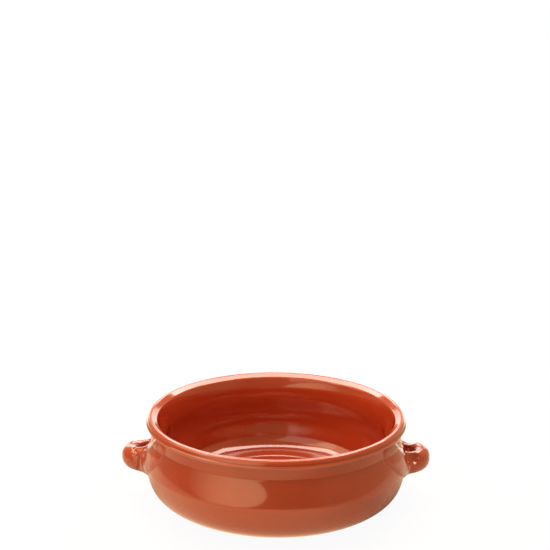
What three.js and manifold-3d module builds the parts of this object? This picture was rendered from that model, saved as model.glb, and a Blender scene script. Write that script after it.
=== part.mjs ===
// Lugged casserole dish in red earthenware under a clear glaze.
// A bowl thrown on the wheel carries two lugs, each a short coil of clay bent into a loop,
// thumbed down at both roots and luted to the belly.
// Millimetres, +Z up. The origin is the centre of the base and the lugs lie along X.

import * as THREE from "three";
import { mergeVertices } from "three/addons/utils/BufferGeometryUtils.js";
import { LoftGeometry } from "three/addons/geometries/LoftGeometry.js";
import Module from "manifold-3d";

const wasm = await Module();
wasm.setup();

// Driving dimensions of the bowl
const rimDiameter = 200; // across the nose of the lip
const height = 70.6; // table to the crest of the lip
const baseDiameter = 122; // flat, unglazed bottom
const heelAngle = 15; // degrees that the underside lifts off the table
const beltSwell = 1.4; // lower crease, measured out past the rim
const beltBulge = 0.25; // rounding of the belt between its creases
const beltFoot = 0.5; // height of the lower crease, as a share of the whole
const beltTop = 0.786; // height of the upper crease, as a share of the whole
const shoulderInset = 3.2; // upper crease, measured in from the rim
const collarInset = 3.4; // upright collar under the lip, measured in from the rim
const lipDepth = 8; // crest of the lip down to the collar
const noseDrop = 4.2; // crest down to the nose, the widest part of the lip
const grooveDrop = 3; // crest down to the groove above the nose
const grooveInset = 1.05; // that groove, measured in from the rim
const crestInset = 3.8; // crest of the lip, measured in from the rim
const crestRound = 1.1; // half the width of the rounding on the crest
const mouthInset = 8.5; // inner edge of the lip, measured in from the rim
const mouthDrop = 2.9; // crest down to that edge
const throatInset = 11.5; // narrowest part of the inside, measured in from the rim
const throatDrop = 18.6; // crest down to the throat
const bellyWall = 10.2; // thickness of the wall at the lower crease
const floorThickness = 6.5; // clay left under the floor
const floorInset = 27.1; // edge of the flat floor, measured in from the rim
const floorFillet = 14; // radius of the curve between the floor and the wall
const wallLean = 18; // degrees that the wall leans out where it leaves that curve
const floorLedge = 6.5; // level ring between that curve and the sunk middle
const floorDish = 1.1; // step down to the sunk middle of the floor

// Driving dimensions of the lugs
const coilWidth = 12.8; // thickness of the clay coil, in plan
const coilHeight = 16.6; // the coil is a little taller than it is thick
const rootDrop = 3; // fall of the upper side of the coil from its middle to its ends
const lugReach = 18.8; // how far the coil stands out past the belt
const lugSpan = 43.8; // length of the loop along the wall, outside to outside
const lugHeight = 0.485; // middle of the coil, as a share of the height of the bowl
const padWidth = 25; // clay smeared along the wall at each root
const padHeight = 29; // clay smeared up and down the wall at each root
const padThickness = 3.6; // half the thickness of the smeared clay, part of it sunk in the wall
const padSpread = 20; // middle of each pad, along the wall from the middle of the loop
const padLift = 3.5; // middle of each pad above the middle of the coil
const thumbDiameter = 18; // ball of the thumb that presses each root down
const thumbDepth = 2.8; // depth of that press
const thumbAngle = 63; // degrees round the loop from its middle to the thumb
const thumbLean = 38; // degrees from the outer side of the coil up to the thumb
const fingerDiameter = 12; // tip of the finger that holds against the thumb, inside the loop
const fingerDepth = 1.3; // depth of its mark
const fingerAngle = 60; // degrees round the loop from its middle to the finger
const fingerLean = 150; // degrees from the outer side of the coil over its top to the finger
const dentDepth = 3.8; // how far the soft wall gives behind each lug
const dentWidth = 60; // spread of that hollow along the wall
const dentHeight = 36; // spread of that hollow up the wall
const dentLevel = 0.64; // middle of that hollow, as a share of the height of the bowl
const coilSink = 6; // how far inside the wall the ends of the coil start, before they are trimmed
const lutingGap = 0.3; // layer of slip between a lug and the wall

// Fineness of the curved surfaces
const wheelSteps = 72;
const curveSteps = 5;
const loopSteps = 22;
const coilSides = 20;

const rimRadius = rimDiameter / 2;
const baseRadius = baseDiameter / 2;
const beltRadius = rimRadius + beltSwell;
const shoulderRadius = rimRadius - shoulderInset;
const collarRadius = rimRadius - collarInset;
const beltZ = beltFoot * height;
const shoulderZ = beltTop * height;
const collarZ = height - lipDepth;

// Outside of the bowl from the edge of the base up to the collar
function traceOutside(path) {
  const heel = THREE.MathUtils.degToRad(heelAngle);
  const flare = 0.94 * (beltRadius - baseRadius);
  path.lineTo(baseRadius, 0);
  path.bezierCurveTo(
    baseRadius + flare * Math.cos(heel),
    flare * Math.sin(heel),
    beltRadius - 0.08 * beltZ,
    0.34 * beltZ,
    beltRadius,
    beltZ,
  );
  path.quadraticCurveTo(
    (beltRadius + shoulderRadius) / 2 + 2 * beltBulge,
    (beltZ + shoulderZ) / 2,
    shoulderRadius,
    shoulderZ,
  );
  path.lineTo(collarRadius, collarZ);
}

// Lip: undercut, nose, groove, rounded crest and the bevel down to its inner edge
function traceLip(path) {
  const undercutZ = height - 0.7 * lipDepth;
  const grooveRadius = rimRadius - grooveInset;
  const grooveZ = height - grooveDrop;
  const crestRadius = rimRadius - crestInset;
  const roundZ = height - crestRound / 2;
  path.bezierCurveTo(
    collarRadius,
    undercutZ,
    rimRadius,
    undercutZ,
    rimRadius,
    height - noseDrop,
  );
  path.quadraticCurveTo(
    rimRadius,
    grooveZ - 0.1 * grooveDrop,
    grooveRadius,
    grooveZ,
  );
  path.quadraticCurveTo(
    grooveRadius,
    height - 0.7 * grooveDrop,
    crestRadius + crestRound,
    roundZ,
  );
  path.quadraticCurveTo(
    crestRadius + crestRound / 2,
    height,
    crestRadius,
    height,
  );
  path.quadraticCurveTo(
    crestRadius - crestRound / 2,
    height,
    crestRadius - crestRound,
    height - 0.35 * crestRound,
  );
  path.lineTo(rimRadius - mouthInset, height - mouthDrop);
}

// Inside of the bowl from the lip down the throat and the wall, and over the floor to the axis
function traceInside(path) {
  const mouthRadius = rimRadius - mouthInset;
  const throatRadius = rimRadius - throatInset;
  const throatZ = height - throatDrop;
  const bellyRadius = beltRadius - bellyWall;
  const floorRadius = rimRadius - floorInset;
  const filletZ = floorThickness + floorFillet;
  const lean = THREE.MathUtils.degToRad(wallLean);
  const cornerRadius = floorRadius + floorFillet * Math.cos(-lean);
  const cornerZ = filletZ + floorFillet * Math.sin(-lean);
  const dishRadius = floorRadius - floorLedge;
  const dishStep = 1.1 * floorDish;
  const funnel = throatDrop - mouthDrop;
  const rise = throatZ - beltZ;
  const drop = beltZ - cornerZ;
  path.bezierCurveTo(
    mouthRadius - 0.43 * (mouthRadius - throatRadius),
    height - mouthDrop - 0.24 * funnel,
    throatRadius,
    throatZ + 0.38 * funnel,
    throatRadius,
    throatZ,
  );
  path.bezierCurveTo(
    throatRadius,
    throatZ - 0.33 * rise,
    bellyRadius,
    beltZ + 0.47 * rise,
    bellyRadius,
    beltZ,
  );
  path.bezierCurveTo(
    bellyRadius,
    beltZ - 0.33 * drop,
    cornerRadius + 0.4 * drop * Math.tan(lean),
    cornerZ + 0.4 * drop,
    cornerRadius,
    cornerZ,
  );
  path.absarc(floorRadius, filletZ, floorFillet, -lean, -Math.PI / 2, true);
  path.lineTo(dishRadius + dishStep, floorThickness);
  path.bezierCurveTo(
    dishRadius,
    floorThickness,
    dishRadius,
    floorThickness - floorDish,
    dishRadius - dishStep,
    floorThickness - floorDish,
  );
  path.lineTo(0, floorThickness - floorDish);
}

// A profile turned round the upright axis
function turn(path, spread = 0) {
  const points = path.getPoints(curveSteps);
  for (const point of points) {
    if (point.x > 0) {
      point.x += spread;
    }
  }
  const geometry = new THREE.LatheGeometry(points, wheelSteps).rotateX(Math.PI / 2);
  return pressWall(geometry);
}

// The soft wall gives where the lugs are pressed on: a shallow hollow, inside and out
function pressWall(geometry) {
  const position = geometry.getAttribute("position");
  for (let i = 0; i < position.count; i += 1) {
    const across = position.getY(i) / (dentWidth / 2);
    const rise = (position.getZ(i) - dentLevel * height) / (dentHeight / 2);
    const reach = Math.max(0, 1 - across ** 2 - rise ** 2);
    const x = position.getX(i);
    position.setX(i, x - Math.sign(x) * dentDepth * reach ** 2);
  }
  geometry.computeVertexNormals();
  return geometry;
}

// Closed solid for cutting, and back again
function toSolid(geometry) {
  const bare = new THREE.BufferGeometry();
  bare.setAttribute("position", geometry.getAttribute("position"));
  bare.setIndex(geometry.getIndex());
  const welded = mergeVertices(bare, 1e-4);
  const mesh = new wasm.Mesh({
    numProp: 3,
    vertProperties: new Float32Array(welded.attributes.position.array),
    triVerts: new Uint32Array(welded.index.array),
  });
  return new wasm.Manifold(mesh);
}

function toGeometry(solid) {
  const mesh = solid.getMesh();
  const geometry = new THREE.BufferGeometry();
  geometry.setAttribute("position", new THREE.BufferAttribute(mesh.vertProperties, 3));
  geometry.setIndex(new THREE.BufferAttribute(mesh.triVerts, 1));
  geometry.computeVertexNormals();
  return geometry;
}

function makeBowl() {
  const profile = new THREE.Path();
  profile.moveTo(0, 0);
  traceOutside(profile);
  traceLip(profile);
  traceInside(profile);
  return turn(profile);
}

// The bowl filled to the collar and grown by the luting gap, which trims the roots of a lug
function makeSeat() {
  const profile = new THREE.Path();
  profile.moveTo(0, 0);
  traceOutside(profile);
  profile.lineTo(0, collarZ);
  return turn(profile, lutingGap);
}

// Middle line of the coil: half an ellipse, lying flat, with its ends inside the wall
const coilZ = lugHeight * height;
const loopStart = beltRadius - coilSink;
const loopReach = beltRadius + lugReach - coilWidth / 2 - loopStart;
const loopHalf = (lugSpan - coilWidth) / 2;

// A point on the skin of the coil: along the loop, then round the section from its outer side
function coilPoint(along, around, stand = 0) {
  const cos = Math.cos(along);
  const sin = Math.sin(along);
  const point = new THREE.Vector3(loopStart + loopReach * cos, loopHalf * sin, coilZ);
  const outward = new THREE.Vector3(loopHalf * cos, loopReach * sin, 0).normalize();
  const rise = Math.sin(around);
  const thinning = rise > 0 ? rootDrop * (1 - cos) : 0;
  point.addScaledVector(outward, (coilWidth / 2 + stand) * Math.cos(around));
  point.z += (coilHeight / 2 - thinning + stand) * rise;
  return point;
}

function makeCoil() {
  const sections = [];
  for (let step = 0; step <= loopSteps; step += 1) {
    const along = (step / loopSteps - 0.5) * Math.PI;
    const section = [];
    for (let side = 0; side < coilSides; side += 1) {
      section.push(coilPoint(along, (-side / coilSides) * 2 * Math.PI));
    }
    sections.push(section);
  }
  return new LoftGeometry(sections, { capStart: true, capEnd: true });
}

// Clay of one root smeared over the wall: a flat mound that leans with the belt
function makePad(end) {
  const lean = Math.atan2(beltRadius - shoulderRadius, shoulderZ - beltZ);
  const mound = new THREE.SphereGeometry(1, 20, 12);
  mound.scale(padThickness, padWidth / 2, padHeight / 2);
  mound.rotateY(-lean);
  mound.translate(beltRadius - dentDepth, 0, coilZ + padLift);
  return mound.rotateZ((end * padSpread) / beltRadius);
}

// Ball of a thumb or fingertip, sunk into the skin of the coil
function makePress(angle, lean, diameter, depth) {
  const along = THREE.MathUtils.degToRad(angle);
  const around = THREE.MathUtils.degToRad(lean);
  const radius = diameter / 2;
  const place = coilPoint(along, around, radius - depth);
  const ball = new THREE.SphereGeometry(radius, 18, 12);
  return ball.translate(place.x, place.y, place.z);
}

// Each end of the loop is smeared on the wall and pinched between a thumb and a finger
function makeLug() {
  let lug = toSolid(makeCoil());
  for (const end of [-1, 1]) {
    lug = lug.add(toSolid(makePad(end)));
  }
  for (const end of [-1, 1]) {
    const thumb = makePress(end * thumbAngle, thumbLean, thumbDiameter, thumbDepth);
    const finger = makePress(end * fingerAngle, fingerLean, fingerDiameter, fingerDepth);
    lug = lug.subtract(toSolid(thumb)).subtract(toSolid(finger));
  }
  return toGeometry(lug.subtract(toSolid(makeSeat())));
}

function makePiece(name, geometry, color, roughness) {
  const material = new THREE.MeshStandardMaterial({ color, roughness, metalness: 0 });
  const mesh = new THREE.Mesh(geometry, material);
  mesh.name = name;
  return mesh;
}

const lugGeometry = makeLug();
const bowl = makePiece("bowl", makeBowl(), 0xa23f24, 0.16);
const rightLug = makePiece("right_lug", lugGeometry, 0xa5452a, 0.18);
const leftLug = makePiece("left_lug", lugGeometry, 0xa5452a, 0.18);
leftLug.rotation.z = Math.PI;

const dish = new THREE.Group();
dish.name = "lugged_casserole_dish";
dish.add(bowl, leftLug, rightLug);

export default dish;
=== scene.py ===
# %% [markdown]
# A casserole dish in red earthenware, thrown on a wheel, with a small loop of clay pressed on at
# each side as a lug. The whole pot is dipped in a clear, glossy glaze, and only the flat base is
# left bare, so that it doesn't stick to the kiln shelf.
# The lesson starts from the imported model, which fixes every size. The bowl and the two lugs are
# then made again with the marks of the wheel and of the potter's fingers, and take the places of
# the plain solids.

# %% load the frame
import math

import bmesh
import bpy
import numpy as np
from mathutils import Euler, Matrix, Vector


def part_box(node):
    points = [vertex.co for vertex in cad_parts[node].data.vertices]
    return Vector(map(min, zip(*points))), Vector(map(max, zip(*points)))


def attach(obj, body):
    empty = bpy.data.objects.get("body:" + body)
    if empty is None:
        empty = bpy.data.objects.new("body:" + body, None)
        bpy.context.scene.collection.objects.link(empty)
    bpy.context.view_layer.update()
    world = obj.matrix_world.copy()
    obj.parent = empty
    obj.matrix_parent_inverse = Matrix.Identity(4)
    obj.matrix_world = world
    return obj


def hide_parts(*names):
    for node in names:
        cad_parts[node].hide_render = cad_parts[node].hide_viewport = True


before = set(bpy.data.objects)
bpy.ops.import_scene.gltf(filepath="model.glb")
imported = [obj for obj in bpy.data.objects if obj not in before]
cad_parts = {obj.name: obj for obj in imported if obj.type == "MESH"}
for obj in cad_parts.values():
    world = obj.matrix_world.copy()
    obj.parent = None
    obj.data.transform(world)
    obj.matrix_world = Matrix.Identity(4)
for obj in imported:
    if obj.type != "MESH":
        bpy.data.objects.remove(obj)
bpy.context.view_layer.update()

bowl_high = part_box("bowl")[1]
MM = 0.001
height = bowl_high.z / MM
belt_radius = bowl_high.y / MM
print(f"bowl: {height:.1f} mm high, {2 * belt_radius:.1f} mm across the belt")

# %% [markdown]
# The profile of a thrown pot is one line, from the middle of the base, up the outside, over the
# lip, down the inside and back to the middle of the floor. A few Bezier curves give it, with a
# corner wherever the potter's rib stopped: at the two creases of the belt and under the lip.
# Inside, the wall runs in a broad curve into the floor, and a low step rings the floor.
# Clay has no sharp corners, so the line is then softened by averaging it along its length.

# %% draw the profile of the bowl
base_radius = 61.0
belt = (belt_radius, 0.5 * height)
shoulder = (96.8, 0.786 * height)
collar = (96.6, height - 8.0)
lip_edge = (91.5, height - 2.9)
throat = (88.5, height - 18.6)
belly = (91.2, 36.0)
floor_top = 6.5
fillet = 14.0
fillet_at = (72.9, floor_top + fillet)
fillet_start, fillet_end = math.radians(72), math.radians(7)
# Points of the low step on the floor: a radius, and a drop below floor_top.
step_start = (74.6, -0.1)
step_brow = (68.4, 0.66)
step_foot = (67.3, 1.05)
well_edge = (61.0, 1.95)


def bezier(points, steps=60):
    """Points of one Bezier curve of any degree, without its first point."""
    share = np.linspace(0, 1, steps + 1)[1:, None]
    level = [np.array(point, float)[None, :] for point in points]
    while len(level) > 1:
        level = [a * (1 - share) + b * share for a, b in zip(level, level[1:])]
    return level[0]


def profile_line():
    """Radius and height of the profile in millimetres, from the base to the floor."""
    top = height

    def on_fillet(turn_by):
        return fillet_at[0] + fillet * np.sin(turn_by), fillet_at[1] - fillet * np.cos(turn_by)

    corner = on_fillet(fillet_start)
    strokes = [
        [(0, 0), (base_radius, 0)],
        [(base_radius, 0), (97.4, 9.83), (97.9, 12.6), belt],
        [belt, (100.5, belt[1] + 6.7), (98.9, shoulder[1] - 6.7), shoulder],
        [shoulder, (96.62, shoulder[1] + 3.3), collar],
        [collar, (96.8, top - 6.7), (98.4, top - 6.3)],
        [(98.4, top - 6.3), (99.7, top - 6.0), (100.1, top - 5.4), (100.0, top - 4.8)],
        [(100.0, top - 4.8), (99.9, top - 4.1), (99.4, top - 3.8), (98.95, top - 3.6)],
        [(98.95, top - 3.6), (99.05, top - 2.2), (98.6, top - 0.85), (97.5, top - 0.3)],
        [(97.5, top - 0.3), (97.1, top - 0.09), (96.6, top), (96.2, top)],
        [(96.2, top), (95.8, top), (95.4, top - 0.13), (95.1, top - 0.35)],
        [(95.1, top - 0.35), lip_edge],
        [lip_edge, (90.2, top - 6.7), (throat[0], top - 12.6), throat],
        [throat, (throat[0], 46.5), (belly[0], 43.5), belly],
        [belly, (belly[0], 29.0), (corner[0] + 2.4, corner[1] + 7.4), corner],
    ]
    line = [[(0.0, 0.0)]] + [bezier(stroke) for stroke in strokes]
    line.append(np.column_stack(on_fillet(np.linspace(fillet_start, fillet_end, 60)[1:])))
    for stroke in (
        [step_start, step_brow],
        [step_brow, (67.9, 0.72), (67.6, 0.85), step_foot],
        [step_foot, (66.2, 1.78), (65.0, 1.9), well_edge],
        [well_edge, (0, well_edge[1])],
    ):
        line.append(bezier([(radius, floor_top - drop) for radius, drop in stroke]))
    return np.vstack(line)


def even_steps(line, step):
    """The same line with points at an even distance along it."""
    gaps = np.hypot(*np.diff(line, axis=0).T)
    run = np.append(0, np.cumsum(gaps))
    at = np.linspace(0, run[-1], int(run[-1] / step) + 1)
    return np.column_stack([np.interp(at, run, line[:, 0]), np.interp(at, run, line[:, 1])])


def soften(line, width):
    """Average a line over a few neighbours; both ends lie on the axis, so they are mirrored."""
    reach = int(3 * width)
    flip = np.array([-1.0, 1.0])
    longer = np.vstack([line[1:reach + 1][::-1] * flip, line, line[-reach - 1:-1][::-1] * flip])
    weight = np.exp(-0.5 * (np.arange(-reach, reach + 1) / width) ** 2)
    weight /= weight.sum()
    soft = np.column_stack([np.convolve(longer[:, k], weight, "valid") for k in (0, 1)])
    soft[[0, -1], 0] = 0
    return soft


STEP = 0.2
plain = soften(even_steps(profile_line(), STEP), 0.4 / STEP)
crest = int(np.argmax(plain[:, 1]))
print(f"profile: {len(plain)} points, {STEP * len(plain):.0f} mm long, crest at point {crest}")

# %% [markdown]
# A thin groove is cut into that profile at each crease, where the tool stood still. Long even
# stretches need few points, and the lip and the creases need many, so the points are spread by
# how much happens there.

# %% add the tool lines and spread the points
outside = np.arange(len(plain)) <= crest


def tool_line(line, level, depth, width):
    """Push the outside of the wall in (or out, with a negative depth) round one level."""
    mark = depth * np.exp(-(((line[:, 1] - level) / width) ** 2))
    line[:, 0] -= np.where(outside & (line[:, 0] > base_radius), mark, 0)


lines = plain.copy()
tool_line(lines, shoulder[1] + 0.2, 0.02, 0.6)
tool_line(lines, belt[1] + 0.4, 0.05, 0.45)

turn = np.gradient(np.unwrap(np.arctan2(*np.gradient(lines, axis=0).T[::-1]))) / STEP
need = 0.45 + np.minimum(3.0, 14 * np.convolve(np.abs(turn), np.ones(9) / 9, "same"))
share = np.append(0, np.cumsum(need[1:]))
rows = 300
pick = np.interp(np.linspace(0, share[-1], rows), share, np.arange(len(lines)))
profile = np.column_stack([np.interp(pick, np.arange(len(lines)), lines[:, k]) for k in (0, 1)])
bare = (np.interp(pick, np.arange(len(lines)), outside) > 0.5) & (profile[:, 1] < 0.9)
print(f"{rows} rows, finest {np.hypot(*np.diff(profile, axis=0).T).min():.2f} mm")

# %% [markdown]
# The wheel turns the profile into the pot. Geometry Nodes do the same: a flat grid has one row
# for each point of the profile and one column for each step of the wheel, and every point of the
# grid is moved to its row's place, turned by its column's angle. Because the angle is known at
# each point, the slight sway of a pot that isn't quite round any more and the hollow that was
# pressed in behind each lug are simple sums.
# Spinning in mesh code would work too, but then each mark would be a second pass over the mesh.

# %% helpers for node trees


def wire(tree, value, socket):
    """Link a socket to a socket, or write a plain value into it."""
    if isinstance(value, bpy.types.NodeSocket):
        tree.links.new(value, socket)
    else:
        socket.default_value = value


def place(tree, kind, inputs=None, **settings):
    """A node with its settings and inputs filled in."""
    node = tree.nodes.new(kind)
    for name, value in settings.items():
        setattr(node, name, value)
    for name, value in (inputs or {}).items():
        wire(tree, value, node.inputs[name])
    return node


def calc(tree, operation, *values):
    """A Math node; the values are numbers or sockets."""
    node = tree.nodes.new("ShaderNodeMath")
    node.operation = operation
    for value, socket in zip(values, node.inputs):
        wire(tree, value, socket)
    return node.outputs[0]


def add_sockets(tree, way, sockets):
    """Named sockets on a tree's own interface."""
    for name, kind in sockets.items():
        tree.interface.new_socket(name, in_out=way, socket_type="NodeSocket" + kind)


# %% build the tree that throws the bowl


def throwing_tree():
    """The tree that turns a profile into the bowl."""
    tree = bpy.data.node_groups.new("thrown on the wheel", "GeometryNodeTree")
    add_sockets(tree, "INPUT", {
        "Profile": "Geometry", "Wheel steps": "Int", "Out of round": "Float", "Dent depth": "Float",
        "Dent half width": "Float", "Dent half height": "Float", "Dent level": "Float",
        "Glaze": "Material",
    })
    add_sockets(tree, "OUTPUT", {"Bowl": "Geometry"})
    given = tree.nodes.new("NodeGroupInput").outputs

    size = place(tree, "GeometryNodeAttributeDomainSize", {"Geometry": given["Profile"]})
    count = size.outputs["Point Count"]
    columns = calc(tree, "ADD", given["Wheel steps"], 1)
    grid = place(tree, "GeometryNodeMeshGrid", {"Vertices X": columns, "Vertices Y": count})
    index = tree.nodes.new("GeometryNodeInputIndex").outputs[0]
    row = calc(tree, "MODULO", index, count)
    column = calc(tree, "FLOOR", calc(tree, "DIVIDE", calc(tree, "ADD", index, 0.5), count))
    angle = calc(tree, "MULTIPLY", calc(tree, "DIVIDE", column, given["Wheel steps"]), 2 * math.pi)

    def of_row(value, kind):
        return place(tree, "GeometryNodeSampleIndex", {
            "Geometry": given["Profile"], "Value": value, "Index": row}, data_type=kind).outputs[0]

    spot = of_row(tree.nodes.new("GeometryNodeInputPosition").outputs[0], "FLOAT_VECTOR")
    spot = place(tree, "ShaderNodeSeparateXYZ", {"Vector": spot}).outputs

    sway = calc(tree, "SINE", calc(tree, "ADD", calc(tree, "MULTIPLY", angle, 2), 0.8))
    sway = calc(tree, "MULTIPLY", calc(tree, "MULTIPLY", sway, given["Out of round"]),
                calc(tree, "DIVIDE", spot["Z"], height * MM))
    sway = calc(tree, "MULTIPLY", sway, calc(tree, "MINIMUM", 1.0, calc(tree, "MULTIPLY", spot["X"], 30.0)))
    radius = calc(tree, "ADD", spot["X"], sway)
    across = calc(tree, "MULTIPLY", radius, calc(tree, "SINE", angle))
    out = calc(tree, "MULTIPLY", radius, calc(tree, "COSINE", angle))

    side = calc(tree, "POWER", calc(tree, "DIVIDE", across, given["Dent half width"]), 2)
    rise = calc(tree, "SUBTRACT", spot["Z"], given["Dent level"])
    rise = calc(tree, "DIVIDE", rise, given["Dent half height"])
    reach = calc(tree, "SUBTRACT", calc(tree, "SUBTRACT", 1, side), calc(tree, "POWER", rise, 2))
    reach = calc(tree, "POWER", calc(tree, "MAXIMUM", reach, 0), 2)
    dent = calc(tree, "MULTIPLY", reach, given["Dent depth"])
    dent = calc(tree, "MULTIPLY", dent, calc(tree, "SIGN", out))
    point = place(tree, "ShaderNodeCombineXYZ", {
        "X": calc(tree, "SUBTRACT", out, dent), "Y": across, "Z": spot["Z"]}).outputs[0]

    pot = place(tree, "GeometryNodeSetPosition", {
        "Geometry": grid.outputs["Mesh"], "Position": point}).outputs[0]
    bare_here = place(tree, "GeometryNodeInputNamedAttribute", {"Name": "bare"}, data_type="FLOAT").outputs[0]
    pot = place(tree, "GeometryNodeStoreNamedAttribute", {
        "Geometry": pot, "Name": "bare", "Value": of_row(bare_here, "FLOAT")}, data_type="FLOAT").outputs[0]
    pot = place(tree, "GeometryNodeMergeByDistance", {"Geometry": pot, "Distance": 2e-6}).outputs[0]
    pot = place(tree, "GeometryNodeSetShadeSmooth", {"Geometry": pot}).outputs[0]
    pot = place(tree, "GeometryNodeRealizeInstances", {"Geometry": pot}).outputs[0]
    pot = place(tree, "GeometryNodeSetMaterial", {"Geometry": pot, "Material": given["Glaze"]}).outputs[0]
    wire(tree, pot, tree.nodes.new("NodeGroupOutput").inputs["Bowl"])
    return tree


throwing = throwing_tree()
print(f"{throwing.name}: {len(throwing.nodes)} nodes")

# %% [markdown]
# The glaze is a thin layer of clear glass on red clay. Under it the clay is a little cloudy in
# colour, with darker iron specks. On an edge the melted glaze runs off and leaves a thin, paler
# line, and in a groove it pools and looks darker. That darker colour in grooves is partly
# painted shade: it also stands in for the shade that falls into grooves and under the lip.
# Every piece shows this, so it is one shader group, and it reads how sharply each piece bends
# from an attribute named edge.

# %% build the group for clay under glaze


def glaze_group():
    """Colour, roughness and height of clay under glaze, for any piece with an edge attribute."""
    tree = bpy.data.node_groups.new("clay under clear glaze", "ShaderNodeTree")
    add_sockets(tree, "INPUT", {
        "Clay": "Color", "Deep clay": "Color", "Thin glaze": "Color", "Specks, pooled glaze and painted shade": "Color",
        "Edge": "Float", "Cloud": "Float", "Specks": "Float"})
    add_sockets(tree, "OUTPUT", {"Colour": "Color", "Roughness": "Float", "Height": "Float"})
    given = tree.nodes.new("NodeGroupInput").outputs
    spot = tree.nodes.new("ShaderNodeTexCoord").outputs["Object"]

    def noise(scale, detail, squash=1.0):
        at = place(tree, "ShaderNodeMapping", {"Vector": spot, "Scale": (1.0, 1.0, squash)}).outputs[0]
        return place(tree, "ShaderNodeTexNoise", {
            "Vector": at, "Scale": scale, "Detail": detail}).outputs[0]

    def blend(share, first, second):
        node = place(tree, "ShaderNodeMix", data_type="RGBA")
        wire(tree, share, node.inputs["Factor"])
        wire(tree, first, node.inputs[6])
        wire(tree, second, node.inputs[7])
        return node.outputs[2]

    def spread(value, low, high):
        return place(tree, "ShaderNodeMapRange", {
            "Value": value, "From Min": low, "From Max": high}, clamp=True).outputs[0]

    cloud = calc(tree, "ADD", noise(24.0, 3.0, 3.0), calc(tree, "MULTIPLY", noise(420.0, 2.0), 0.35))
    cloud = calc(tree, "MULTIPLY", spread(cloud, 0.45, 0.95), given["Cloud"])
    colour = blend(cloud, given["Clay"], given["Deep clay"])
    grain = spread(noise(1500.0, 1.0), 0.69, 0.76)
    colour = blend(calc(tree, "MULTIPLY", grain, given["Specks"]), colour, given["Specks, pooled glaze and painted shade"])
    thin = calc(tree, "MAXIMUM", given["Edge"], 0)
    # Grooves take the dark pooled-glaze colour: partly glaze that pools there, partly painted shade for the
    # shade that falls into grooves.
    pooled_and_painted_shade = calc(tree, "MAXIMUM", calc(tree, "MULTIPLY", given["Edge"], -1), 0)
    colour = blend(calc(tree, "MULTIPLY", thin, 0.5), colour, given["Thin glaze"])
    colour = blend(calc(tree, "MULTIPLY", pooled_and_painted_shade, 0.7), colour, given["Specks, pooled glaze and painted shade"])

    end = tree.nodes.new("NodeGroupOutput").inputs
    wire(tree, colour, end["Colour"])
    wire(tree, calc(tree, "ADD", 0.13, calc(tree, "MULTIPLY", cloud, 0.05)), end["Roughness"])
    peel = calc(tree, "ADD", noise(110.0, 2.0), calc(tree, "MULTIPLY", noise(600.0, 1.0), 0.12))
    wire(tree, peel, end["Height"])
    return tree


clay_under_glaze = glaze_group()
print(f"{clay_under_glaze.name}: {len(clay_under_glaze.nodes)} nodes")

# %% [markdown]
# The bowl has one material, and the two lugs share another, in which the clay is a little more
# cloudy. The Principled shader is the clay, and its Coat is the glaze, clear and smoother. The
# clay under the glaze gleams too, in a warm honey tone, which the Specular Tint gives. On the bowl
# the coat is taken off where the base was wiped clean, and there the clay is paler, dull and
# marked by the wire that cut it off the wheel.

# %% make the glazed materials


def srgb(*levels):
    """A colour written in the usual 0 to 255 levels, as Blender's linear values."""
    shares = [level / 255 for level in levels]
    return (*(v / 12.92 if v < 0.0404 else ((v + 0.055) / 1.055) ** 2.4 for v in shares), 1.0)


def glazed(name, clay, deep, cloud, specks):
    """A material of clay in two tones under a clear coat."""
    material = bpy.data.materials.new(name)
    material.use_nodes = True
    tree = material.node_tree
    shader = tree.nodes["Principled BSDF"]
    edge = place(tree, "ShaderNodeAttribute", attribute_name="edge")
    look = place(tree, "ShaderNodeGroup", node_tree=clay_under_glaze)
    # The dark pooled-glaze colour serves the specks and the grooves, where it is partly painted shade.
    for socket, value in {
        "Clay": clay, "Deep clay": deep, "Thin glaze": srgb(214, 98, 52), "Specks, pooled glaze and painted shade": srgb(112, 30, 16),
        "Cloud": cloud, "Specks": specks, "Edge": edge.outputs["Fac"],
    }.items():
        wire(tree, value, look.inputs[socket])
    bump = place(tree, "ShaderNodeBump", {
        "Height": look.outputs["Height"], "Strength": 0.05, "Distance": 0.0006})
    wire(tree, look.outputs["Colour"], shader.inputs["Base Color"])
    wire(tree, look.outputs["Roughness"], shader.inputs["Roughness"])
    wire(tree, bump.outputs[0], shader.inputs["Normal"])
    shader.inputs["IOR"].default_value = 1.55
    shader.inputs["Specular IOR Level"].default_value = 0.5
    shader.inputs["Specular Tint"].default_value = (1.0, 0.55, 0.25, 1)
    shader.inputs["Coat Weight"].default_value = 1.0
    shader.inputs["Coat Roughness"].default_value = 0.08
    shader.inputs["Coat IOR"].default_value = 1.6
    return material


bowl_glaze = glazed("bowl_glaze", srgb(174, 59, 28), srgb(160, 52, 25), 0.8, 0.5)
lug_glaze = glazed("lug_glaze", srgb(176, 59, 28), srgb(159, 51, 25), 1.0, 0.6)


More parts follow.
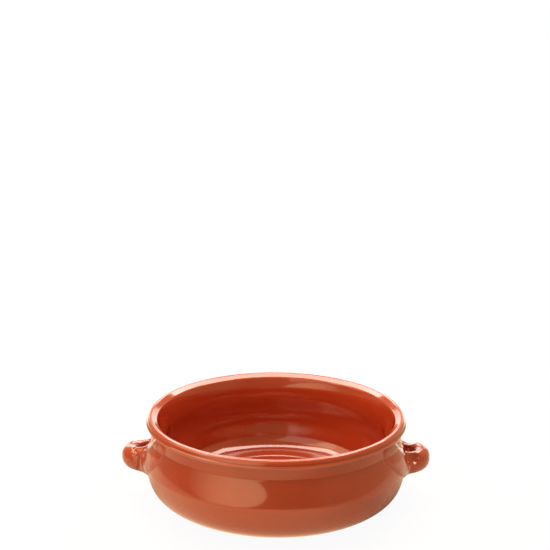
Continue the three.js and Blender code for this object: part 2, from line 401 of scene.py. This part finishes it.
def wipe_base(material):
    """Bare clay where the attribute named bare is 1."""
    tree = material.node_tree
    shader = tree.nodes["Principled BSDF"]
    mask = place(tree, "ShaderNodeAttribute", attribute_name="bare").outputs["Fac"]
    spot = tree.nodes.new("ShaderNodeTexCoord").outputs["Object"]
    wire_cut = place(tree, "ShaderNodeTexWave", {
        "Vector": spot, "Scale": 90.0, "Distortion": 5.0, "Detail": 2.0, "Detail Scale": 0.6},
        bands_direction="Y")
    pale = place(tree, "ShaderNodeMix", data_type="RGBA")
    for socket, value in {0: wire_cut.outputs["Fac"], 6: srgb(196, 118, 84), 7: srgb(180, 100, 70)}.items():
        wire(tree, value, pale.inputs[socket])
    for socket, dull in {"Base Color": pale.outputs[2], "Roughness": 0.9, "Coat Weight": 0.0}.items():
        colour = socket == "Base Color"
        mix = place(tree, "ShaderNodeMix", data_type="RGBA" if colour else "FLOAT")
        first = shader.inputs[socket].links
        wire(tree, first[0].from_socket if first else shader.inputs[socket].default_value,
             mix.inputs[6 if colour else 2])
        wire(tree, mask, mix.inputs[0])
        wire(tree, dull, mix.inputs[7 if colour else 3])
        wire(tree, mix.outputs[2 if colour else 0], shader.inputs[socket])


wipe_base(bowl_glaze)
print("materials:", bowl_glaze.name, lug_glaze.name)

# %% [markdown]
# Now the bowl itself. The profile becomes a chain of points, the tree turns it, and the result is
# kept as a plain mesh. The edge attribute is measured afterwards: on each mesh edge the turn of
# the surface from one end to the other, over its length, says how sharply the clay bends there.

# %% keep a plain mesh and measure its edges


def plain_mesh(name, maker):
    """The evaluated mesh of an object, as an object of its own; the maker goes away."""
    shape = bpy.data.meshes.new_from_object(maker.evaluated_get(bpy.context.evaluated_depsgraph_get()))
    shape.name = name
    old = maker.data
    bpy.data.objects.remove(maker)
    bpy.data.meshes.remove(old)
    piece = bpy.data.objects.new(name, shape)
    bpy.context.scene.collection.objects.link(piece)
    return piece


def mark_edges(shape, sharp, passes=2):
    """Store how sharply the surface bends: 1 on a crisp edge, -1 in a crisp groove."""
    count = len(shape.vertices)
    spots = np.empty(count * 3)
    shape.vertices.foreach_get("co", spots)
    spots = spots.reshape(-1, 3)
    normals = np.array([vector.vector[:] for vector in shape.vertex_normals])
    ends = np.empty(len(shape.edges) * 2, int)
    shape.edges.foreach_get("vertices", ends)
    a, b = ends.reshape(-1, 2).T
    gap = spots[b] - spots[a]
    bend = ((normals[b] - normals[a]) * gap).sum(1) / np.maximum((gap ** 2).sum(1), 1e-12)
    high, low = np.zeros(count), np.zeros(count)
    for end in (a, b):
        np.maximum.at(high, end, bend)
        np.minimum.at(low, end, bend)
    edge = np.clip((high + low) * sharp, -1, 1)
    neighbours = np.bincount(a, minlength=count) + np.bincount(b, minlength=count)
    for _ in range(passes):
        total = np.bincount(a, edge[b], count) + np.bincount(b, edge[a], count)
        edge = 0.5 * edge + 0.5 * total / np.maximum(neighbours, 1)
    shape.attributes.new("edge", "FLOAT", "POINT").data.foreach_set("value", edge.astype(np.float32))
    return edge


# %% throw the bowl
chain = bpy.data.meshes.new("bowl profile")
chain.from_pydata([(r * MM, 0, z * MM) for r, z in profile], [(k, k + 1) for k in range(rows - 1)], [])
chain.attributes.new("bare", "FLOAT", "POINT").data.foreach_set("value", bare.astype(np.float32))

DENT = {"depth": 3.8, "width": 30.0, "height": 18.0, "level": 0.64 * height}
wheel = bpy.data.objects.new("wheel", chain)
bpy.context.scene.collection.objects.link(wheel)
thrower = wheel.modifiers.new("thrown", "NODES")
thrower.node_group = throwing
sizes = {
    "Wheel steps": 240, "Out of round": 0.25 * MM,
    "Dent depth": DENT["depth"] * MM, "Dent half width": DENT["width"] * MM,
    "Dent half height": DENT["height"] * MM, "Dent level": DENT["level"] * MM, "Glaze": bowl_glaze,
}
for item in throwing.interface.items_tree:
    if item.name in sizes:
        thrower[item.identifier] = sizes[item.name]
bowl = plain_mesh("thrown_bowl", wheel)
bowl_edge = mark_edges(bowl.data, 0.9 * MM)
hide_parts("bowl")
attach(bowl, "root")
print(f"bowl: {len(bowl.data.vertices)} points, {len(bowl.data.polygons)} faces, "
      f"edges {bowl_edge.min():.2f} to {bowl_edge.max():.2f}")

# %% [markdown]
# A lug is a short coil of clay bent into a loop. The potter presses its two ends on the wall with
# a thumb and smears the clay until it holds. Such a lump has no clear rows of faces, so it is
# described by distances: how far a point is from the coil, from the smeared pads, from the thumb.
# Distances can be joined with a soft seam, which is just what wet clay does. At the front the coil
# climbs a little and is smeared up along the wall towards the lip. The wall of the bowl takes part
# in the sum too, so that the clay thins out over it.

# %% distances that make up a lug
outer = plain[:crest + 1]
outer = outer[(outer[:, 0] > base_radius - 1) & (outer[:, 1] < collar[1])]
COIL_Z = 0.485 * height
LOOP = {"start": belt_radius - 6.0, "reach": 18.4, "half": 15.5}
COIL = {"half_width": 6.4, "half_height": 8.3, "drop": 3.0}
PAD = {"along": 20.0, "up": 5.5, "lean": 13.4, "half_thick": 3.6, "half_wide": 12.5}


def wall_gap(x, y, z):
    """Distance from the outside of the wall, in millimetres, with its hollow behind the lug."""
    reach = np.maximum(0, 1 - (y / DENT["width"]) ** 2 - ((z - DENT["level"]) / DENT["height"]) ** 2) ** 2
    return 0.97 * (np.hypot(x + DENT["depth"] * reach, y) - np.interp(z, outer[:, 1], outer[:, 0]))


def oval_gap(parts):
    """Distance from an oval or an egg: pairs of an offset and a half size."""
    ratio = np.sqrt(sum((offset / size) ** 2 for offset, size in parts)) + 1e-6
    slope = np.sqrt(sum((offset / size ** 2) ** 2 for offset, size in parts)) + 1e-6
    return ratio * (ratio - 1) / slope


def coil_top(share, front, lift):
    """Half height of the coil's upper side: it climbs to the wall at the front and drops at the back."""
    return COIL["half_height"] + share * np.where(front, lift, -COIL["drop"])


def coil_gap(x, y, z, lift):
    """Distance from the looped coil."""
    u, v = (x - LOOP["start"]) / LOOP["reach"], y / LOOP["half"]
    ring = np.hypot(u, v) + 1e-6
    side = (ring - 1) * ring / np.hypot(u / LOOP["reach"], v / LOOP["half"])
    rise = z - COIL_Z
    tall = np.where(rise > 0, coil_top(1 - u / ring, y < 0, lift), COIL["half_height"])
    return oval_gap([(side, COIL["half_width"]), (rise, tall)])


def pad_gap(x, y, z, end):
    """Distance from the pad that a thumb spread at one end of the loop."""
    turn_by = end * PAD["along"] / belt_radius
    out = x * math.cos(turn_by) + y * math.sin(turn_by) - (belt_radius - DENT["depth"])
    along = y * math.cos(turn_by) - x * math.sin(turn_by)
    lean = math.radians(PAD["lean"])
    up = z - COIL_Z - PAD["up"]
    return oval_gap([(out * math.cos(lean) + up * math.sin(lean), PAD["half_thick"]),
                     (along, PAD["half_wide"]),
                     (up * math.cos(lean) - out * math.sin(lean), PAD["half_wide"])])


def smear_gap(x, y, z, along, up, size, slope):
    """Distance from a flat smear of clay on the wall, which climbs towards the front."""
    climb = math.radians(slope)
    a, b = np.arctan2(y, x) * belt_radius - along, z - up
    return oval_gap([(wall_gap(x, y, z), size[2]), (b * math.sin(climb) - a * math.cos(climb), size[0]),
                     (b * math.cos(climb) + a * math.sin(climb), size[1])])


def join(a, b, soft):
    """Two lumps of clay pressed together with a soft seam."""
    share = np.maximum(soft - np.abs(a - b), 0) / soft
    return np.minimum(a, b) - share ** 2 * soft / 4


def press(lump, tool, soft):
    """A tool pressed into a lump, with a soft brim."""
    return -join(-lump, tool, soft)


wall_there = np.interp(COIL_Z, outer[:, 1], outer[:, 0])
print(f"coil middle at {COIL_Z:.1f} mm, wall there {wall_there:.1f} mm out")

# %% [markdown]
# To get a mesh, the distances are worked out on a fine grid, and a net of faces is drawn round
# the cells where the sign changes. One point in each such cell, at the middle of its crossings,
# gives an even net, the simplest of the ways to do it. A little smoothing takes away the steps.
# The grid is bent round the wall, so that the thin smear lies along its rows.

# %% turn distances into a mesh


def net_of(field, origin, step):
    """Points and faces of the surface where a field on a grid changes sign."""
    solid = field < 0
    cells = np.array(field.shape) - 1
    total, hits = np.zeros((*cells, 3)), np.zeros(tuple(cells))
    corner = np.indices(tuple(cells)).transpose(1, 2, 3, 0).astype(float)
    quads = []
    for axis in range(3):
        first = np.moveaxis(field, axis, 0)
        crossing = np.moveaxis(solid, axis, 0)[:-1] != np.moveaxis(solid, axis, 0)[1:]
        with np.errstate(divide="ignore", invalid="ignore"):
            cut = np.where(crossing, first[:-1] / (first[:-1] - first[1:]), 0)
        crossing, cut = np.moveaxis(crossing, 0, axis), np.moveaxis(cut, 0, axis)
        others = [k for k in range(3) if k != axis]
        for shift in ((0, 0), (0, 1), (1, 0), (1, 1)):
            window = [slice(None)] * 3
            for k, by in zip(others, shift):
                window[k] = slice(by, by + cells[k])
            here, at = crossing[tuple(window)], cut[tuple(window)]
            spot = corner.copy()
            spot[..., axis] += at
            for k, by in zip(others, shift):
                spot[..., k] += by
            total += spot * here[..., None]
            hits += here
        spots = np.argwhere(crossing)
        inner = np.all([(spots[:, k] > 0) & (spots[:, k] < cells[k]) for k in others], axis=0)
        spots = spots[inner]
        ring = []
        for back in ((1, 1), (0, 1), (0, 0), (1, 0)):
            cell = spots.copy()
            for k, by in zip(others, back):
                cell[:, k] -= by
            ring.append(np.ravel_multi_index(cell.T, tuple(cells)))
        ring = np.column_stack(ring)
        turned = solid[tuple(spots.T)] == (axis == 1)
        quads.append(np.where(turned[:, None], ring[:, ::-1], ring))
    quads = np.vstack(quads)
    used, faces = np.unique(quads, return_inverse=True)
    middle = total.reshape(-1, 3)[used] / hits.ravel()[used][:, None]
    return origin + middle * step, faces.reshape(quads.shape)


try_step, try_radius = 0.5, 5.0
try_axis = np.arange(-6.0, 6.5, try_step)
ball = np.sqrt(sum(c ** 2 for c in np.meshgrid(try_axis, try_axis, try_axis, indexing="ij"))) - try_radius
ball_spots, ball_faces = net_of(ball, try_axis[0], try_step)
print(f"tried on a ball of radius {try_radius}: {len(ball_faces)} faces, "
      f"mean radius {np.linalg.norm(ball_spots, axis=1).mean():.2f}")

# %% [markdown]
# A real lump of clay is closed all round, so the net has to be closed too. The border of the grid
# is made to count as air, two lumps that touch only along an edge get clay between them, and loose
# crumbs are dropped. The last two would otherwise leave edges with more than two faces, or small
# islands, which a printer or a physics engine can't use.

# %% keep the net closed


def air_all_round(field):
    """Let the surface close before the border of the grid."""
    for axis in range(3):
        border = np.moveaxis(field, axis, 0)
        border[[0, -1]] = np.maximum(border[[0, -1]], 0.05)
    return field


def fill_diagonals(field):
    """Put clay between two lumps that would only touch along an edge of the net."""
    while True:
        filled = 0
        for a, b in ((0, 1), (0, 2), (1, 2)):
            side = np.moveaxis(field, (a, b), (0, 1))
            p, q, r, s = side[:-1, :-1], side[:-1, 1:], side[1:, :-1], side[1:, 1:]
            for inside, air in (((p, s), (q, r)), ((q, r), (p, s))):
                touch = (inside[0] < 0) & (inside[1] < 0) & (air[0] >= 0) & (air[1] >= 0)
                air[0][touch] = -0.02
                filled += touch.sum()
        if not filled:
            return field


def keep_largest(mesh):
    """Delete every loose crumb, and keep the one large net."""
    left, islands = set(mesh.verts), []
    while left:
        stack, island = [left.pop()], []
        while stack:
            island.append(stack.pop())
            near = {edge.other_vert(island[-1]) for edge in island[-1].link_edges} & left
            left -= near
            stack += near
        islands.append(island)
    for crumb in sorted(islands, key=len)[:-1]:
        bmesh.ops.delete(mesh, geom=crumb, context="VERTS")


two_lumps = np.ones((4, 4, 4))
two_lumps[1, 1, 1] = two_lumps[2, 2, 1] = -1.0
filled_points = (fill_diagonals(two_lumps) < 0).sum()
print(f"tried on two lumps that touch along an edge: {filled_points} points of clay instead of 2")

# %% bend the grid round the wall


def lug_grid(step):
    """Corner of a grid that is bent round the wall at the right lug, and its points."""
    axes = [np.arange(a, b + step, step) for a, b in zip(GRID_LOW, GRID_HIGH)]
    return GRID_LOW, bent(*np.meshgrid(*axes, indexing="ij"))


def bent(out, along, up):
    """Distance from the axis, way along the wall and height, as plain coordinates."""
    return out * np.cos(along / belt_radius), out * np.sin(along / belt_radius), up


GRID_LOW, GRID_HIGH = np.array([91.0, -70.0, 14.0]), np.array([124.0, 37.0, 66.5])
print("grid of", np.round(GRID_HIGH - GRID_LOW, 1), "mm: out, along the wall, up")

# %% [markdown]
# Marks are written in the potter's own terms: degrees round the loop from its middle, and the lean
# up from the outer side of the coil. A thumb or a finger is a ball pressed in, a fold or a crack is
# a thin round tool drawn along a path, and a lump is a crumb of clay pushed up beside it. Kneading
# leaves the whole coil a little uneven, which is a sum of a few slow waves with a fixed seed.

# %% marks of the hands


def coil_spot(degrees, lean, stand=0.0, lift=0.0):
    """A point on the coil: degrees round the loop, lean up from its outer side, stand off it."""
    along, around = math.radians(degrees), math.radians(lean)
    out = np.array([LOOP["half"] * math.cos(along), LOOP["reach"] * math.sin(along), 0])
    out /= np.linalg.norm(out)
    tall = coil_top(1 - math.cos(along), degrees < 0, lift) if lean > 0 else COIL["half_height"]
    middle = LOOP["start"] + LOOP["reach"] * math.cos(along), LOOP["half"] * math.sin(along), COIL_Z
    spot = np.array(middle)
    spot += out * (COIL["half_width"] + stand) * math.cos(around)
    spot[2] += (tall + stand) * math.sin(around)
    return spot


def knead(x, y, z, seed):
    """Slow unevenness left by rolling and kneading, between about -1 and 1."""
    chance = np.random.default_rng(seed)
    total = np.zeros_like(x)
    for _ in range(9):
        way = chance.normal(size=3)
        way *= chance.uniform(0.25, 0.7) / np.linalg.norm(way)
        total += np.sin(x * way[0] + y * way[1] + z * way[2] + chance.uniform(0, 6.3))
    return total / 5


def stroke_gap(x, y, z, start, stop):
    """Distance from a straight stroke between two points."""
    way = stop - start
    share = sum((c - a) * w for c, a, w in zip((x, y, z), start, way)) / (way @ way)
    share = np.clip(share, 0, 1)
    return np.sqrt(sum((c - a - share * w) ** 2 for c, a, w in zip((x, y, z), start, way)))


SEAM = {"pad": 3.0, "smear": 5.0, "lump": 1.5, "press": 1.4, "wall": 2.5}
UNEVEN = 0.16
UNDER_WALL = {"skin": 0.06, "root": 2.5}
BRIM = 4.0


def lug_field(x, y, z, lift, presses, folds, lumps, smears, seed):
    """Distance from the whole lug, whose root lies just under the face of the wall."""
    body = coil_gap(x, y, z, lift)
    for end in (-1, 1):
        body = join(body, pad_gap(x, y, z, end), SEAM["pad"])
    for along, up, size, slope in smears:
        body = join(body, smear_gap(x, y, z, along, up, size, slope), SEAM["smear"])
    for degrees, lean, size in lumps:
        spot = coil_spot(degrees, lean, 0.0, lift)
        lump = oval_gap([(c - a, half) for c, a, half in zip((x, y, z), spot, size)])
        body = join(body, lump, SEAM["lump"])
    body += UNEVEN * knead(x, y, z, seed)
    for degrees, lean, radius, depth in presses:
        spot = coil_spot(degrees, lean, radius - depth, lift)
        finger = np.sqrt(sum((c - a) ** 2 for c, a in zip((x, y, z), spot))) - radius
        body = press(body, finger, SEAM["press"])
    for path, radius, depth in folds:
        spots = [coil_spot(degrees, lean, radius - depth, lift) for degrees, lean in path]
        groove = np.min([stroke_gap(x, y, z, a, b) for a, b in zip(spots, spots[1:])], axis=0)
        body = press(body, groove - radius, radius)
    wall = wall_gap(x, y, z)
    brim = body - BRIM
    body = join(body, wall + UNDER_WALL["skin"], SEAM["wall"])
    return np.maximum(np.maximum(body, -(wall + UNDER_WALL["root"])), brim)


print("thumb on the right lug at", np.round(coil_spot(-63, 40), 1), "mm")

# %% [markdown]
# The two lugs are the same loop, and each has its own marks, because they were pressed on by hand.
# The right one keeps a deep thumb print. The left one was bent too dry: it folded at the front, and
# short cracks opened beside the fold. Both are worked out on the right side, and the left one is
# mirrored.

# %% press the lugs on


def press_on(name, node, side, marks, step=0.36):
    """Make one lug with its marks, and put it in the place of its plain solid."""
    low, (x, y, z) = lug_grid(step)
    field = fill_diagonals(air_all_round(lug_field(x, y, z, **marks)))
    spots, faces = net_of(field, low, step)
    spots = np.column_stack(bent(*spots.T))
    spots[:, 0] *= side
    if side < 0:
        faces = faces[:, ::-1]
    shape = bpy.data.meshes.new(name)
    shape.from_pydata((spots * MM).tolist(), [], faces.tolist())
    mesh = bmesh.new()
    mesh.from_mesh(shape)
    keep_largest(mesh)
    for _ in range(2):
        bmesh.ops.smooth_vert(
            mesh, verts=mesh.verts, factor=0.5, use_axis_x=True, use_axis_y=True, use_axis_z=True)
    mesh.to_mesh(shape)
    mesh.free()
    shape.polygons.foreach_set("use_smooth", [True] * len(shape.polygons))
    shape.materials.append(lug_glaze)
    mark_edges(shape, 1.2 * MM, 3)
    piece = bpy.data.objects.new(name, shape)
    bpy.context.scene.collection.objects.link(piece)
    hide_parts(node)
    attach(piece, "root")
    print(f"{name}: {len(shape.vertices)} points, {len(shape.polygons)} faces, "
          f"reaches {np.abs(spots[:, 0]).max():.1f} mm")


# A press: degrees, lean, radius, depth. A fold: its path in degrees and lean, radius, depth.
# A lump: degrees, lean, half sizes. A smear: way along the wall, height, half sizes, slope.
right_marks = {
    "lift": 1.0,
    "presses": [
        (-63, 40, 8.5, 3.3), (-60, 150, 6.0, 1.3), (60, 35, 9.0, 2.4), (62, 150, 6.0, 1.2),
        (58, 90, 9.0, 2.0)],
    "folds": [([(-78, 70), (-80, 20), (-82, -20)], 0.8, 0.5)],
    "lumps": [],
    "smears": [(-42.0, 47.5, (26.0, 9.0, 2.4), 35)],
    "seed": 5,
}
left_marks = {
    "lift": 5.0,
    "presses": [
        (-60, 150, 6.0, 1.5), (62, 35, 9.0, 2.4), (60, 150, 6.0, 1.2), (50, 90, 9.0, 1.5)],
    "folds": [
        ([(-42, 108), (-46, 70), (-60, 48), (-65, 28), (-67, 5), (-65, -15), (-61, -45)], 0.9, 0.8),
        ([(-65, 60), (-59, 48), (-53, 35)], 0.5, 0.45),
        ([(-67, 48), (-63, 36), (-58, 24)], 0.5, 0.45),
        ([(-68, 34), (-64, 24), (-60, 14)], 0.45, 0.4),
    ],
    "lumps": [(-82, 12, (5.0, 7.0, 9.0))],
    "smears": [(-38.0, 47.5, (26.0, 9.5, 2.6), 36)],
    "seed": 8,
}
press_on("pressed_right_lug", "right_lug", 1, right_marks)
press_on("pressed_left_lug", "left_lug", -1, left_marks)

# %% [markdown]
# The table is a wide floor of a dull tan, which throws warm light up on the belly. The camera sees
# it nearly white, as the backdrop is, with a part of its real shading, and so with a faint shadow.
# The glaze mirrors the tan, and close in front of the dish a painted pool of warm light, an
# emission that no other ray meets: it stands for a lit table.

# %% lay the floor
FLOOR_RADIUS, FLOOR_SIDES = 0.28, 96
LIGHT_POOL_AT, LIGHT_POOL_INNER, LIGHT_POOL_OUTER = (-0.05, -0.17, 0.0), 0.08, 0.2
floor_shape = bpy.data.meshes.new("floor")
turns = [2 * math.pi * k / FLOOR_SIDES for k in range(FLOOR_SIDES)]
ring = [(FLOOR_RADIUS * math.cos(t), FLOOR_RADIUS * math.sin(t), 0) for t in turns]
floor_shape.from_pydata(ring, [], [tuple(range(FLOOR_SIDES))])
floor = bpy.data.objects.new("floor", floor_shape)
bpy.context.scene.collection.objects.link(floor)
pale = bpy.data.materials.new("pale_table")
pale.use_nodes = True
tree = pale.node_tree
paint = tree.nodes["Principled BSDF"]
paint.inputs["Base Color"].default_value = (0.5, 0.38, 0.27, 1)
paint.inputs["Roughness"].default_value = 0.9
paint.inputs["Specular IOR Level"].default_value = 0.1
path = tree.nodes.new("ShaderNodeLightPath").outputs
eye = path["Is Camera Ray"]
mirrored = calc(tree, "MAXIMUM", path["Is Glossy Ray"], path["Is Transmission Ray"])
spot = tree.nodes.new("ShaderNodeTexCoord").outputs["Object"]
away = place(tree, "ShaderNodeVectorMath", {0: spot, 1: LIGHT_POOL_AT}, operation="DISTANCE").outputs["Value"]
# Painted light: a warm pool on the table in front of the dish, which only glossy and transmission rays see.
painted_light_pool = place(tree, "ShaderNodeMapRange", {
    "Value": away, "From Min": LIGHT_POOL_INNER, "From Max": LIGHT_POOL_OUTER, "To Min": 0.9, "To Max": 0.0},
    interpolation_type="SMOOTHSTEP").outputs[0]
tone = place(tree, "ShaderNodeMix", data_type="RGBA")
# To the camera the glow is white; in reflections it takes the warm colour of the painted light pool.
for socket, value in {0: eye, 6: (1.0, 0.66, 0.4, 1), 7: (0.71, 0.715, 0.72, 1)}.items():
    wire(tree, value, tone.inputs[socket])
glow = place(tree, "ShaderNodeEmission", {"Color": tone.outputs[2], "Strength": 1.5})
mix = place(tree, "ShaderNodeMixShader")
share = calc(tree, "ADD", calc(tree, "MULTIPLY", eye, 0.88), calc(tree, "MULTIPLY", mirrored, painted_light_pool))
wire(tree, share, mix.inputs[0])
wire(tree, paint.outputs[0], mix.inputs[1])
wire(tree, glow.outputs[0], mix.inputs[2])
wire(tree, mix.outputs[0], tree.nodes["Material Output"].inputs["Surface"])
floor_shape.materials.append(pale)
print(f"floor of {2 * FLOOR_RADIUS:.2f} m across")

# %% [markdown]
# The light is a small studio. A large warm soft box stands low to the left of the camera and fades
# towards its far end, with a weaker one above it, and two smaller ones warm the far left. A broad
# box overhead draws the pale ring at the foot of the inside wall, and two strips further back
# light the lip. The room is dim and warm, with a pale sweep behind the dish and a brighter band
# above that. Behind the camera nothing is bright, and the glaze mirrors that as the deep red of
# the belt. The camera itself sees plain white.

# %% set the lights
WARM = (1.0, 0.82, 0.52)


def soft_box(name, azimuth, elevation, away, size, level, shape="RECTANGLE", colour=(1, 1, 1)):
    """A flat lamp that faces the dish; the azimuth is measured from the camera."""
    lamp = bpy.data.lights.new(name, "AREA")
    lamp.shape = shape
    lamp.size, lamp.size_y = size
    lamp.color = colour
    lamp.energy = level * math.pi * size[0] * size[1]
    box = bpy.data.objects.new(name, lamp)
    turn_by, lift = math.radians(azimuth), math.radians(elevation)
    way = Vector((math.sin(turn_by) * math.cos(lift), -math.cos(turn_by) * math.cos(lift), math.sin(lift)))
    box.location = way * away + Vector((0, 0, 0.04))
    box.rotation_euler = way.to_track_quat("Z", "Y").to_euler()
    bpy.context.scene.collection.objects.link(box)
    return box


def fade_across(box, start, stop):
    """Let a lamp fade to nothing along its width, as a real soft box does away from its tube."""
    box.data.use_nodes = True
    tree = box.data.node_tree
    across = place(tree, "ShaderNodeSeparateXYZ", {
        "Vector": tree.nodes.new("ShaderNodeNewGeometry").outputs["Parametric"]}).outputs["X"]
    share = place(tree, "ShaderNodeMapRange", {
        "Value": across, "From Min": start, "From Max": stop}, interpolation_type="SMOOTHSTEP").outputs[0]
    wire(tree, share, tree.nodes["Emission"].inputs["Strength"])


def strip_light(name, start, stop, up, width, level):
    """A long lamp that hangs level over the table and faces down, from one point to another."""
    way = Vector((stop[0] - start[0], stop[1] - start[1]))
    lamp = bpy.data.lights.new(name, "AREA")
    lamp.shape = "RECTANGLE"
    lamp.size, lamp.size_y = way.length, width
    lamp.energy = level * math.pi * way.length * width
    box = bpy.data.objects.new(name, lamp)
    box.location = ((start[0] + stop[0]) / 2, (start[1] + stop[1]) / 2, up)
    box.rotation_euler.z = math.atan2(way.y, way.x)
    bpy.context.scene.collection.objects.link(box)


key = soft_box("key_box", -43, 2, 1.2, (1.75, 0.56), 1.25, "ELLIPSE", WARM)
fade_across(key, 0.0, 0.6)
soft_box("key_top", -42, 38, 1.2, (1.3, 0.95), 0.7)
soft_box("left_low", -80, 32, 1.2, (0.9, 0.6), 1.7, "RECTANGLE", WARM)
soft_box("left_box", -85, 56, 1.2, (0.8, 0.5), 1.4, "RECTANGLE", WARM)
strip_light("right_strip", (0.36, 0.46), (0.8, 1.2), 1.1, 0.34, 5.8)
strip_light("left_strip", (-0.36, 0.46), (-0.8, 1.2), 1.1, 0.34, 5.8)
strip_light("top_box", (-0.76, 0.19), (0.76, 0.19), 1.1, 0.44, 5.6)

# %% set the room
world = bpy.data.worlds.new("room")
bpy.context.scene.world = world
world.use_nodes = True
tree = world.node_tree
back = tree.nodes["Background"]
way = place(tree, "ShaderNodeSeparateXYZ", {
    "Vector": tree.nodes.new("ShaderNodeTexCoord").outputs["Generated"]}).outputs


def fade(value, start, stop, low, high):
    """A soft change from low to high while a value goes from start to stop."""
    return place(tree, "ShaderNodeMapRange", {
        "Value": value, "From Min": start, "From Max": stop, "To Min": low, "To Max": high},
        interpolation_type="SMOOTHSTEP").outputs[0]


sweep = calc(tree, "MULTIPLY", fade(calc(tree, "ABSOLUTE", way["X"]), 0.4, 0.58, 1.25, 0.0),
             fade(way["Z"], 0.27, 0.34, 1.0, 0.0))
band = calc(tree, "MULTIPLY", fade(way["Z"], 0.36, 0.46, 0.0, 3.0), fade(way["Z"], 0.6, 0.72, 1.0, 0.0))
band = calc(tree, "MULTIPLY", band, fade(calc(tree, "ABSOLUTE", way["X"]), 0.28, 0.42, 1.0, 0.0))
sweep = calc(tree, "MULTIPLY", calc(tree, "ADD", sweep, band), fade(way["Y"], 0.0, 0.3, 0.0, 1.0))
walls = calc(tree, "ADD", fade(way["X"], 0.52, 0.7, 0.0, 0.15), 0.46)
eye = tree.nodes.new("ShaderNodeLightPath").outputs["Is Camera Ray"]
wire(tree, (1, 1, 1, 1), back.inputs["Color"])
wire(tree, sweep, back.inputs["Strength"])
warm_walls = place(tree, "ShaderNodeBackground", {"Color": (1.0, 0.68, 0.38, 1), "Strength": walls})
both = place(tree, "ShaderNodeAddShader", {0: back.outputs[0], 1: warm_walls.outputs[0]})
white = place(tree, "ShaderNodeBackground", {"Color": (1, 1, 1, 1), "Strength": 1.0})
seen = place(tree, "ShaderNodeMixShader", {0: eye, 1: both.outputs[0], 2: white.outputs[0]})
wire(tree, seen.outputs[0], tree.nodes["World Output"].inputs["Surface"])
print(f"{world.name}: {len(tree.nodes)} nodes")

# %% [markdown]
# The camera stands where the photograph was taken, as far as the rims and creases tell: a short
# telephoto a third of a metre above the table, tilted down a little, so that the dish sits low in
# the picture, and turned by half a degree, as a camera held by hand often is.

# %% set the camera
PICTURE_WIDTH_PX, FOCAL_PX = 550, 961.86
TILT_DOWN, ROLL = math.radians(12.12), 0.0083
lens = bpy.data.cameras.new("camera")
lens.sensor_width = 36.0
lens.lens = lens.sensor_width * FOCAL_PX / PICTURE_WIDTH_PX
camera = bpy.data.objects.new("camera", lens)
camera.location = (-0.0019, -0.70665, 0.32982)
tilt = Euler((math.pi / 2 - TILT_DOWN, 0, 0)).to_matrix()
roll = Euler((0, 0, ROLL)).to_matrix()
camera.rotation_euler = (tilt @ roll).to_euler()
bpy.context.scene.collection.objects.link(camera)
bpy.context.scene.camera = camera
bpy.context.scene.view_settings.view_transform = "Standard"
print(f"camera with a {lens.lens:.1f} mm lens")
